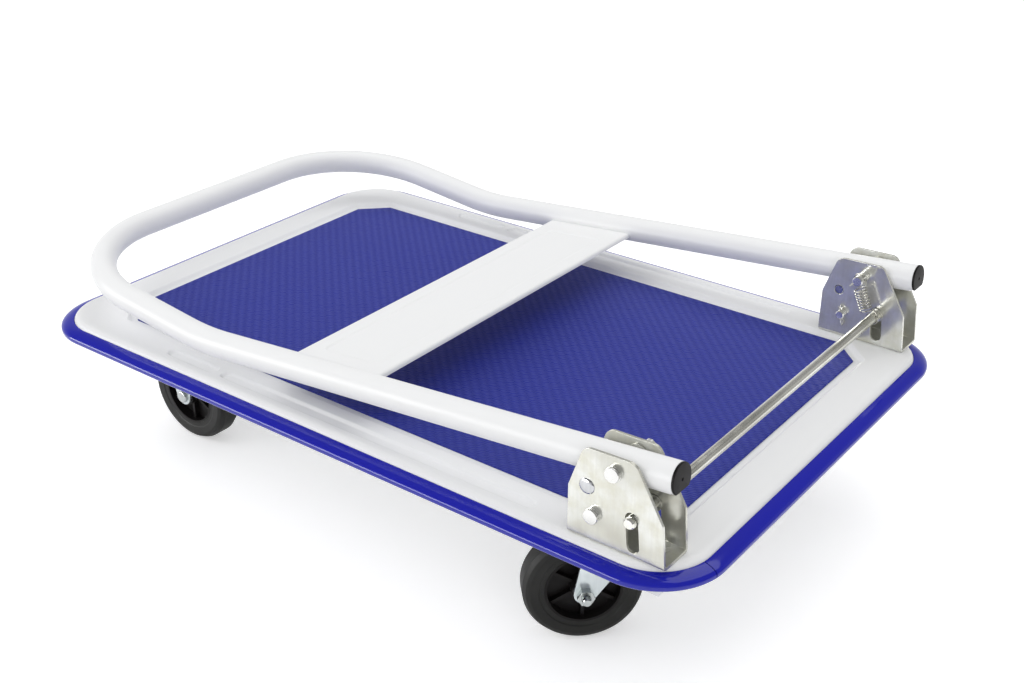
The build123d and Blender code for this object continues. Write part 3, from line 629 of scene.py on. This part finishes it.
def deck_sheet():
    """The pressed sheet as rows from its middle outwards: floor, wall, border, rolled rim, skirt.

    The wall rises by a smooth step, the border sinks by groove_drop, the rim is a quarter circle.
    The same rows, one sheet thickness inside, lead back to the middle. The points along the long
    sides stand close together at the ends of the grooves.
    """
    from_y, to_y = floor_half[1] + pan_depth + PAN_LIP, sheet_half[1] - RIM_ROLL
    share = (groove_line - from_y) / (to_y - from_y)
    pan_run = floor_half[0] - floor_cut + (pan_depth + PAN_LIP) * (sqrt(2) - 1)
    run = pan_run + share * (sheet_half[0] - SHEET_CORNER - pan_run)
    near_ends = np.concatenate([GROOVE_END_STEPS + end for groove in GROOVES for end in groove])
    near_ends = near_ends / (2 * run)
    even = np.linspace(0, 1, LONG_SIDE_STEPS)
    long_side = np.concatenate([even, 0.5 + near_ends, 0.5 - near_ends])
    long_side = np.unique(long_side[(long_side >= 0) & (long_side < 1)].round(5))
    steps = (np.linspace(0, 1, SHORT_SIDE_STEPS, endpoint=False), long_side)

    def pan_rings(out):
        """x and y round the pan, this far outside its floor."""
        return ring_of(floor_half[0] + out, floor_half[1] + out, floor_cut + out * CUT_GAIN,
                       0 * out, steps, CORNER_STEPS)

    def rim_rings(inset):
        """x and y round the sheet, this far inside its rim."""
        return ring_of(sheet_half[0] - inset, sheet_half[1] - inset, SHEET_CORNER - inset,
                       0 * inset + 1, steps, CORNER_STEPS)

    def at_levels(x, y, level):
        return np.stack([x, y, np.broadcast_to(level[:, None], x.shape)], -1)

    wall = np.linspace(-PAN_SOFT, pan_depth + PAN_SOFT, 17)
    wall = np.concatenate([FLOOR_ROWS, wall, [pan_depth + PAN_LIP]])
    level = pan_floor + pan_depth * smooth((wall + PAN_SOFT / 2) / (pan_depth + PAN_SOFT))
    pan = at_levels(*pan_rings(wall), level)

    x0, y0 = pan_rings(wall[-1:])
    x1, y1 = rim_rings(np.array([RIM_ROLL]))
    across = np.concatenate([
        from_y + np.array(BORDER_ROWS), groove_line + np.linspace(-GROOVE_SPAN, GROOVE_SPAN, 30),
        [to_y - RIM_STEP, to_y]])
    t = ((across - from_y) / (to_y - from_y))[:, None]
    x, y = x0 + t * (x1 - x0), y0 + t * (y1 - y0)
    border = np.stack([x, y, deck_top - groove_drop(x, y)], -1)

    angle = np.linspace(0, pi / 2, 9)[1:]
    inset = np.append(RIM_ROLL * (1 - np.sin(angle)), 0.0)
    level = np.append(deck_top - RIM_ROLL * (1 - np.cos(angle)), sheet_low[2])
    top = np.concatenate([pan, border, at_levels(*rim_rings(inset), level)])
    under = top.copy()
    under[:-len(inset), :, 2] -= SHEET
    under[-len(inset):] = at_levels(*rim_rings(inset + SHEET), np.minimum(level, deck_top - SHEET))
    grid = closed_ends(np.concatenate([top, under[::-1]]))
    return surface(grid + (centre_x, 0, 0))


piece("deck_sheet", [deck_sheet()], white, "deck", ("deck_panel",))


def mat_outline(inset):
    """Corners of the mat with its corners cut off, drawn in by an inset, counter-clockwise."""
    hx, hy = mat_half - inset
    cut = MAT_CUT - inset * CUT_GAIN
    return np.array([(hx, hy - cut), (hx - cut, hy), (cut - hx, hy), (-hx, hy - cut),
                     (-hx, cut - hy), (cut - hx, -hy), (hx - cut, -hy), (hx, cut - hy)])


def mat_sheet():
    """The mat's top as slanting rows from one cut corner to the opposite one, and its edge.

    Row t runs straight from one side of the outline to the other. It sinks by a cosine of its
    place among the pressed rows, which fades out at the edge. Rings of the outline make the
    rounded edge and the foot.
    """
    inner = mat_outline(MAT_EDGE)
    rows = (inner[0].sum() - inner[5].sum()) / (sqrt(2) * MAT_ROW)
    share = np.linspace(0, 1, int(rows * MAT_STEPS))
    level = inner.sum(1)
    turns = (level - level[4]) / (level[0] - level[4])
    share = np.unique(np.concatenate([share, turns]).round(7))
    across = np.linspace(0, 1, MAT_ACROSS)
    t = level[4] + share * (level[0] - level[4])

    def edge(corners, index):
        chain = corners[index]
        return np.stack([np.interp(t, inner[index].sum(1), chain[:, k]) for k in (0, 1)], -1)

    left, right = [4, 3, 2, 1], [5, 6, 7, 0]
    first, last = edge(inner, left), edge(inner, right)
    flat = first[:, None] + across[None, :, None] * (last - first)[:, None]
    to_sides = np.minimum(*np.moveaxis(mat_half - MAT_EDGE - np.abs(flat), -1, 0))
    to_cuts = (mat_half.sum() - MAT_CUT - np.abs(flat).sum(-1)) / sqrt(2) - MAT_EDGE
    hem = np.minimum(to_sides, to_cuts)
    phase = (flat.sum(-1) + centre_x) / (sqrt(2) * MAT_ROW)
    dip = MAT_RELIEF * (0.5 - 0.5 * np.cos(2 * pi * phase)) * smooth(hem / MAT_HEM)
    top = np.concatenate([flat + (centre_x, 0), (mat_high[2] - dip)[..., None]], -1)

    def ring(inset, height):
        corners = mat_outline(inset)
        a, b = edge(corners, left), edge(corners, right)
        start = a[0] + across[:, None] * (b[0] - a[0])
        end = a[-1] + across[:, None] * (b[-1] - a[-1])
        loop = np.concatenate([start, b[1:-1], end[::-1], a[-2:0:-1]])
        return np.concatenate([loop + (centre_x, 0), np.full((len(loop), 1), height)], -1)

    turn = np.linspace(pi / 2, 0, 5)
    rings = [ring(MAT_EDGE * (1 - np.cos(a)), mat_high[2] - MAT_EDGE * (1 - np.sin(a)))
             for a in turn]
    foot = np.stack(rings + [ring(0.0, mat_low[2])])
    foot = np.concatenate([foot, gathered(foot[-1:])])
    return [surface(top, round_columns=False), surface(foot)]


piece("deck_mat_sheet", mat_sheet(), mat_blue, "deck", ("deck_mat",))


def bumper_ring():
    """The bumper's section carried round the deck's rim from one side of its joint to the other.

    The section is a quarter ellipse from the rim out to the nose, a short fall and a small round
    under the nose, a thin wall down inside it and a lip turned in under the rim's edge.
    """
    low, high = box("edge_bumper")
    proud = (high - low)[1] / 2 - sheet_half[1]
    under, rim, upper = low[2], sheet_low[2], high[2]
    nose = deck_top - BUMPER_NOSE
    chin = nose - BUMPER_FALL
    turn = pi / 2 * np.linspace(0, 1, 33) ** BUMPER_CROWD
    bow = np.stack([proud * np.sin(turn), nose + (upper - nose) * np.cos(turn)], -1)
    turn = np.linspace(0, pi / 2, 17)[1:]
    tip = np.stack([proud - BUMPER_ROUND + BUMPER_ROUND * np.cos(turn),
                    chin - BUMPER_ROUND * np.sin(turn)], -1)
    turn = np.linspace(0, pi / 2, 5)
    hollow = np.stack([BUMPER_WALL + BUMPER_INNER_ROUND - BUMPER_INNER_ROUND * np.sin(turn),
                       chin - BUMPER_ROUND - BUMPER_INNER_ROUND * (1 - np.cos(turn))], -1)
    lip = np.array([
        (BUMPER_WALL, under + BUMPER_EDGE), (BUMPER_WALL - BUMPER_EDGE, under),
        (BUMPER_LIP_EDGE - BUMPER_LIP, under), (-BUMPER_LIP, under + BUMPER_LIP_EDGE),
        (-BUMPER_LIP, rim), (0, rim), (0, upper - BUMPER_SEAM)])
    section = np.concatenate([bow, tip, hollow, lip])
    gap = BUMPER_JOINT / 2 / (SHEET_CORNER + proud)
    joint = -radians(BUMPER_JOINT_ANGLE)
    stops = (joint + gap, 0, pi / 2, pi, 3 * pi / 2, 2 * pi + joint - gap)
    turn = np.concatenate([np.linspace(*arc) for arc in zip(stops, stops[1:], BUMPER_STEPS)])
    quarter = np.repeat([3, 0, 1, 2, 3], BUMPER_STEPS)
    side_x = np.where((quarter == 0) | (quarter == 3), 1, -1) * (sheet_half[0] - SHEET_CORNER)
    side_y = np.where(quarter < 2, 1, -1) * (sheet_half[1] - SHEET_CORNER)
    reach = SHEET_CORNER + section[None, :, 0]
    x = centre_x + side_x[:, None] + reach * np.cos(turn)[:, None]
    y = side_y[:, None] + reach * np.sin(turn)[:, None]
    z = np.broadcast_to(section[None, :, 1], x.shape)
    return surface(closed_ends(np.stack([x, y, z], -1)))


piece("edge_bumper_strip", [bumper_ring()], bumper_blue, "deck", ("edge_bumper",))


# Handle

pivot = middle("pivot_pin_left") * (1, 0, 1)
tube_y = -middle("hinge_bracket_left")[1]
slope = radians(FOLD_SLOPE)
tube_way = np.array([-cos(slope), 0, -sin(slope)])
tube_up = np.array([-sin(slope), 0, cos(slope)])
rise = slope - radians(KINK_ANGLE)
grip_way = np.array([-cos(rise), 0, -sin(rise)])
tube_end = pivot - tube_way * TUBE_TAIL
kink = pivot + tube_way * KINK_REACH
grip = kink + grip_way * GRIP_REACH
sides = {"left": -1, "right": 1}


def notch_bar():
    """The bar that cuts the stop pin's notch in the tube ends, from the CAD plug's own cut."""
    spot = pivot - tube_way * STOP_REACH - tube_up * STOP_DEPTH
    return bar_y(spot[0], spot[2], -NOTCH_REACH, NOTCH_REACH, STOP_RADIUS)


def handle_tube():
    """A hollow round section carried along the bent centre line, out and back along the bore."""
    stations = [(tube_end, 1), (kink, 1), (grip, 1), (grip, -1), (kink, -1), (tube_end, -1)]
    corners = [spot + (0, side * tube_y, 0) for spot, side in stations]
    path = rounded(corners, [KINK_RADIUS, GRIP_BEND, GRIP_BEND, KINK_RADIUS], BEND_STEPS)
    outer = carried(path, circle(TUBE_RADIUS, TUBE_STEPS), tube_up)
    inner = carried(path, circle(TUBE_RADIUS - TUBE_WALL, TUBE_STEPS), tube_up)
    skin = surface(np.concatenate([outer, inner[::-1]]), round_rows=True)
    holes = [bar_y(pivot[0], pivot[2], way * tube_y - HOLE_REACH, way * tube_y + HOLE_REACH,
                   PIVOT_HOLE) for way in (-1, 1)]
    return less(mesh_of("handle_tube_bent", [skin]), holes + [notch_bar()])


put("handle_tube_bent", handle_tube(), white, "handle", ("handle_tube",))


def panel_sheet():
    """The panel's folded section across, carried from tube to tube.

    The section is a flat with two turned-down edges, out along the top and back one sheet below.
    The flat sinks by a smooth step inside a rounded rectangle, and each end stops at the tube's
    round side.
    """
    half = PANEL_WIDTH / 2
    top, foot = -PANEL_DROP, -PANEL_DROP - PANEL_FOLD
    span = tube_y - TUBE_RADIUS
    field_half = np.array([half - PRESS_MARGIN, span - PRESS_END_MARGIN])
    flat_half = half - PANEL_BEND - 1
    flat = np.unique(np.concatenate([np.linspace(-flat_half, flat_half, 16)] + [
        way * (field_half[0] + PRESS_STEPS) for way in (-1, 1)]).round(3))
    turn = np.linspace(pi / 2, 0, 7)

    def bend(radius):
        return np.stack([half - PANEL_BEND + radius * np.cos(turn),
                         top - PANEL_BEND + radius * np.sin(turn)], -1)

    outer_bend, inner_bend = bend(PANEL_BEND), bend(PANEL_BEND - SHEET)
    section = np.concatenate([
        [[-half, foot]], outer_bend[::-1] * (-1, 1), np.stack([flat, 0 * flat + top], -1),
        outer_bend, [[half, foot]],
        [[half - SHEET, foot]], inner_bend[::-1],
        np.stack([flat, 0 * flat + top - SHEET], -1)[::-1],
        inner_bend * (-1, 1), [[-half + SHEET, foot]]])
    share = np.unique(np.concatenate([np.linspace(-1, 1, 25)] + [
        way * (field_half[1] + PRESS_STEPS) / span for way in (-1, 1)]).round(4))
    u, v = section[None, :, 0], section[None, :, 1]
    reach = tube_y - np.sqrt(TUBE_RADIUS**2 - v**2) + PANEL_WELD
    y = share[:, None] * reach
    q = np.stack(np.broadcast_arrays(np.abs(u) - field_half[0] + PRESS_CORNER,
                                     np.abs(y) - field_half[1] + PRESS_CORNER), -1)
    outside = np.linalg.norm(np.maximum(q, 0), axis=-1) + np.minimum(q.max(-1), 0) - PRESS_CORNER
    level = v - PRESS_DEPTH * smooth(-outside / PRESS_WALL)
    spot = pivot + tube_way * (PANEL_REACH + half)
    grid = (spot + u[..., None] * tube_way + level[..., None] * tube_up
            + y[..., None] * np.array([0, 1, 0]))
    return surface(closed_ends(grid))


piece("handle_panel_sheet", [panel_sheet()], white, "handle", ("handle_panel",))


def end_plug(side):
    """A plug turned about the tube's end: spigot, soft-edged cap, a small dimple in its middle."""
    r, bore = TUBE_RADIUS, TUBE_RADIUS - TUBE_WALL
    (mouth, _), *dimple = PLUG_DIMPLE
    profile = np.concatenate([
        [(0, -PLUG_SPIGOT), (bore - PLUG_SLIP, -PLUG_SPIGOT), (bore - PLUG_SLIP, 0)],
        soft_profile([(bore, 0.0), (r, 0.0), (r, PLUG_CAP), (mouth, PLUG_CAP)], PLUG_EDGE),
        [(radius, PLUG_CAP - depth) for radius, depth in dimple]])
    mesh = mesh_of("plug", [turned(profile, tube_end + (0, side * tube_y, 0), -tube_way)])
    return less(mesh, [notch_bar()])


for name, side in sides.items():
    put(f"end_plug_{name}_turned", end_plug(side), plastic, "handle", (f"end_plug_{name}",))


# Brackets, pins, latch

for name in sides:
    dressed(f"hinge_bracket_{name}", zinc, edge=0.22, sharp=28)

bracket_low, bracket_high = box("hinge_bracket_left")
bracket_face = tube_y + (bracket_high - bracket_low)[1] / 2


def pin_spans(node, side):
    """A pin's place in the middle plane, its head's radius, and its ends' distances from there."""
    low, high = box(node)
    inner, out = sorted((side * low[1], side * high[1]))
    return (low + high) / 2 * (1, 0, 1), (high - low)[0] / 2, inner, out


def turned_pin(node, side, head_profile):
    """A pin turned about Y: its head's profile, then a shank with a chamfered end."""
    spot, head, inner, out = pin_spans(node, side)
    size = PIN_SIZE[node.split("_")[0]] / 2
    shank = [(size, bracket_face), (size, inner + PIN_CHAMFER), (size - PIN_CHAMFER, inner),
             (0, inner)]
    return turned(np.concatenate([head_profile(head, out), shank]), spot, (0, side, 0), PIN_STEPS)


def grooved_head(head, out):
    """A flat head with a soft edge and a ring groove half way down its side."""
    groove = (out + bracket_face) / 2
    edge = [(head - inset, out - drop) for inset, drop in HEAD_EDGE]
    ring = [(head - inset, groove + step) for inset, step in HEAD_GROOVE]
    foot = [(head, bracket_face + HEAD_FOOT), (head - HEAD_FOOT, bracket_face)]
    return np.array([(0, out)] + edge + ring + foot)


def domed_head(head, out):
    """A rivet's head: half an ellipse."""
    turn = np.linspace(0, pi / 2, 15)
    height = bracket_face + (out - bracket_face) * np.cos(turn)
    return np.stack([head * np.sin(turn), height], -1)


PIN_KINDS = (("pivot", grooved_head, steel), ("stop", grooved_head, steel),
             ("rest", domed_head, polished))

for name, side in sides.items():
    for kind, head_profile, look in PIN_KINDS:
        node_name = f"{kind}_pin_{name}"
        pin = turned_pin(node_name, side, head_profile)
        piece(node_name + "_turned", [pin], look, body_of(node_name), (node_name,))

for node_name in ("pivot_washers", "latch_clips"):
    dressed(node_name, zinc, edge=0.12)


def cotter(spot, size, turn):
    """A split pin of wire bent double: one leg spread, the eye's arc, the other leg spread.

    The path lies in the plane of the pin's axis and of the turned upright: straight legs through
    the pin, an open loop above it, and ends that spread by the sine of their angle below it.
    """
    up = np.array([sin(radians(turn)), 0, cos(radians(turn))])
    pin_way = np.array([0.0, 1.0, 0.0])
    lean = radians(COTTER_SPREAD)
    below, above = size / 2 + COTTER_BELOW, size / 2 + COTTER_ABOVE
    tip = np.array([[COTTER_WIRE / 2 + COTTER_LEG * sin(lean), -below - COTTER_LEG * cos(lean)]])
    leg = np.stack([np.full(8, COTTER_WIRE / 2), np.linspace(-below, above, 8)], -1)
    bend = np.linspace(COTTER_EYE_START, 0.5 * pi, 16)
    loop = COTTER_EYE * np.stack([np.cos(bend), np.sin(bend)], -1)
    loop = np.array([[0, above + COTTER_EYE * COTTER_EYE_RISE]]) + loop
    half = np.concatenate([tip, leg, loop])
    flat = np.concatenate([half, half[-2::-1] * (-1, 1)])
    path = spot + flat[:, :1] * pin_way + flat[:, 1:] * up
    return wire(path, COTTER_WIRE / 2, np.cross(pin_way, up))


for kind, turns in COTTER_TURNS.items():
    wires = []
    for name, side in sides.items():
        spot, _, inner, _ = pin_spans(f"{kind}_pin_{name}", side)
        hole = spot + (0, side * (inner + COTTER_INSET), 0)
        wires.append(cotter(hole, PIN_SIZE[kind], turns[name]))
    piece(f"{kind}_cotters_bent", wires, zinc, "deck", (f"{kind}_cotters",))

rod_low, rod_high = box("latch_rod")
rod_radius = (rod_high - rod_low)[0] / 2
rod_spot = middle("latch_rod") * (1, 0, 1)


def latch_rod():
    """A round bar turned about Y, with chamfered ends and a ring groove near each end."""
    r, half = rod_radius, (rod_high - rod_low)[1] / 2
    end = [(0, half), (r - ROD_CHAMFER, half), (r, half - ROD_CHAMFER)]
    end = np.array(end + [(r - inset, half - step) for inset, step in ROD_GROOVE])
    return turned(np.concatenate([end, end[::-1] * (1, -1)]), rod_spot, (0, 1, 0), ROD_STEPS)


piece("latch_rod_bar", [latch_rod()], rod_steel, "latch", ("latch_rod",))


def spring_path(name, side):
    """Centre line of a latch spring: a hook round the pivot pin, the coil, a hook round the rod.

    The coil is radius * (out cos a + across sin a) + along * pitch a / 2 pi; the hooks are arcs in
    the plane of the spring's axis, and short smooth joints lead from hook to coil. The middles of
    the pin and of the rod come with it.
    """
    y = middle(f"latch_spring_{name}")[1]
    upper, lower = pivot + (0, y, 0), rod_spot + (0, y, 0)
    along = unit(lower - upper)
    across = np.array([0.0, side, 0.0])
    out = np.cross((0, -1, 0), along)
    start = (np.linalg.norm(lower - upper) - SPRING_TURNS * SPRING_PITCH) / 2
    first = upper + along * start - out * SPRING_OFFSET
    a = np.linspace(0, 2 * pi * SPRING_TURNS, SPRING_TURNS * SPRING_STEPS + 1)[:, None]
    coil = (first + along * SPRING_PITCH * a / (2 * pi)
            + SPRING_RADIUS * (out * np.cos(a) + across * np.sin(a)))

    def hook(centre, radius, angles):
        reach = radius + SPRING_WIRE / 2 + HOOK_SLIP
        b = np.radians(angles)[:, None]
        return centre + reach * (along * np.cos(b) + out * np.sin(b))

    def joint(p, p_way, q, q_way):
        t = np.linspace(0, 1, 12)[1:-1, None]
        reach = np.linalg.norm(q - p)
        return ((2 * t**3 - 3 * t**2 + 1) * p + (t**3 - 2 * t**2 + t) * reach * p_way
                + (3 * t**2 - 2 * t**3) * q + (t**3 - t**2) * reach * q_way)

    top = hook(upper, PIN_SIZE["pivot"] / 2, np.linspace(90 + HOOK_TURN, 90, SPRING_STEPS))
    bottom = hook(lower, rod_radius, np.linspace(90, 90 - HOOK_TURN, SPRING_STEPS))
    into = joint(top[-1], along, coil[0], unit(coil[1] - coil[0]))
    away = joint(coil[-1], unit(coil[-1] - coil[-2]), bottom[0], along)
    return np.concatenate([top, into, coil, away, bottom]), upper, lower


for name, side in sides.items():
    path, upper, lower = spring_path(name, side)
    coil = wire(path, SPRING_WIRE / 2, (0, 1, 0))
    spring = piece(f"latch_spring_{name}_wound", [coil], spring_wire, None, (f"latch_spring_{name}",))
    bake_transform(spring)


# Fastenings and castors

for node_name in ("bracket_bolts", "bracket_nuts", "castor_bolts", "castor_nuts"):
    dressed(node_name, zinc, edge=0.2)
for node_name in ("cross_rail_grip_end", "cross_rail_hinge_end",
                  "side_rail_left", "side_rail_right"):
    dressed(node_name, white, edge=0.3)


def tyre(node):
    """A tyre turned about its axle: rounded tread, shoulders, a stepped side wall and the bore."""
    low, high = box(node)
    hub = middle(node.replace("tyre", "hub"))
    nut = middle(node.replace("tyre", "axle_nut"))
    r, bore, half = (high - low)[2] / 2, TYRE_BORE / 2, TYRE_WIDTH / 2
    lip = [(bore + step, half - inset) for step, inset in TYRE_LIP]
    shoulder = [(r - step, half - inset) for step, inset in TYRE_SHOULDER]
    side = soft_profile(lip + shoulder + [(r, 0)], TYRE_SOFT)
    profile = np.concatenate([side, side[-2::-1] * (1, -1)])
    return turned(profile, hub, nut - hub, TYRE_STEPS, round_rows=True)


for kind in ("fixed", "swivel"):
    for name in sides:
        node_name = f"{kind}_tyre_{name}"
        piece(node_name + "_turned", [tyre(node_name)], rubber, body_of(node_name), (node_name,),
              sharp=50)
        dressed(f"{kind}_hub_{name}", plastic, edge=0.5)
        dressed(f"{kind}_sleeve_{name}", steel, edge=0.2)
        dressed(f"{kind}_axle_{name}", nut_zinc, edge=0.2)
        dressed(f"{kind}_axle_nut_{name}", nut_zinc, edge=0.25)
        dressed(f"{kind}_fork_{name}", fork_zinc, edge=0.5)
for name in sides:
    dressed(f"swivel_plate_{name}", zinc, edge=0.4)
    dressed(f"king_pin_{name}", zinc, edge=0.3)
    dressed(f"race_balls_{name}", steel, edge=0)


# Camera, floor and light

camera = linked("camera", bpy.data.cameras.new("camera"))
camera.data.sensor_fit = "HORIZONTAL"
camera.data.sensor_width = CAMERA_SENSOR
camera.data.lens = CAMERA_LENS
camera.data.clip_end = CAMERA_CLIP
camera_place = Vector(CAMERA_PLACE) + Vector((centre_x, 0, mat_high[2]))
camera.matrix_world = (
    Matrix.Translation(camera_place * MM)
    @ Matrix.Rotation(radians(CAMERA_TURN), 4, "Z")
    @ Matrix.Rotation(radians(90 - CAMERA_TILT), 4, "X")
    @ Matrix.Rotation(radians(CAMERA_ROLL), 4, "Z"))
bpy.context.scene.camera = camera


def seen_level(mat, hidden, shown):
    """A strength with one value for the light on the object and another for what is seen.

    Seen are the rays from the camera, from shiny pieces and through clear ones.
    """
    rays = node(mat, "ShaderNodeLightPath").outputs
    seen = sums(mat, "MAXIMUM", rays["Is Camera Ray"], rays["Is Glossy Ray"])
    seen = sums(mat, "MAXIMUM", seen, rays["Is Transmission Ray"])
    return ramp(mat, seen, 0.0, 1.0, hidden, shown)


floor_look = look_of("floor", (0.93, 0.93, 0.93), 0.9, Emission_Color=(1, 1, 1, 1))
feed(floor_look, "Emission Strength", seen_level(floor_look, 0.0, FLOOR_GLOW))
floor_mesh = bpy.data.meshes.new("floor")
floor_corners = [(x * FLOOR_REACH, y * FLOOR_REACH, 0) for x, y in ((-1, -1), (1, -1), (1, 1), (-1, 1))]
floor_mesh.from_pydata(floor_corners, [], [(0, 1, 2, 3)])
floor_mesh.materials.append(floor_look)
floor = linked("floor", floor_mesh)


def lamp(name, place, size, power, lights=True, mirrored=True):
    """A soft lamp that faces the cart; it may light the object, show in its shiny faces, or both."""
    data = bpy.data.lights.new(name, "AREA")
    data.shape = "RECTANGLE"
    data.size, data.size_y = size
    data.energy = power
    obj = linked(name, data)
    obj.location = place
    obj.rotation_euler = (Vector(LAMP_TARGET) - Vector(place)).to_track_quat("-Z", "Y").to_euler()
    obj.visible_diffuse = lights
    obj.visible_glossy = mirrored


lamp("key", (-1.5, -1.3, 1.6), (1.5, 1.5), 18, mirrored=False)
lamp("strip", (-1.3, -2.0, 0.6), (2.6, 0.9), 60, lights=False)
lamp("top", (0.1, 0.8, 2.1), (2.2, 1.6), 16)
lamp("fill", (1.7, -1.5, 0.9), (1.8, 1.2), 9, mirrored=False)

# The world is white; shiny faces see it darker towards +X and overhead.
world = bpy.data.worlds.new("studio")
bpy.context.scene.world = world
world.use_nodes = True
background = world.node_tree.nodes["Background"]
background.inputs["Color"].default_value = (1, 1, 1, 1)
generated = node(world, "ShaderNodeTexCoord").outputs["Generated"]
direction = node(world, "ShaderNodeSeparateXYZ", {0: generated}).outputs
dark = [ramp(world, direction[axis], start, end, 0.0, DARK_SIDE)
        for axis, start, end in DARK_RANGES]
glossy = node(world, "ShaderNodeLightPath").outputs["Is Glossy Ray"]
mirrored = sums(world, "MULTIPLY", sums(world, "MAXIMUM", *dark), glossy)
strength = sums(world, "SUBTRACT", seen_level(world, WORLD_LIGHT, 1.0), mirrored)
world.node_tree.links.new(strength, background.inputs["Strength"])

bpy.context.scene.view_settings.view_transform = "Standard"
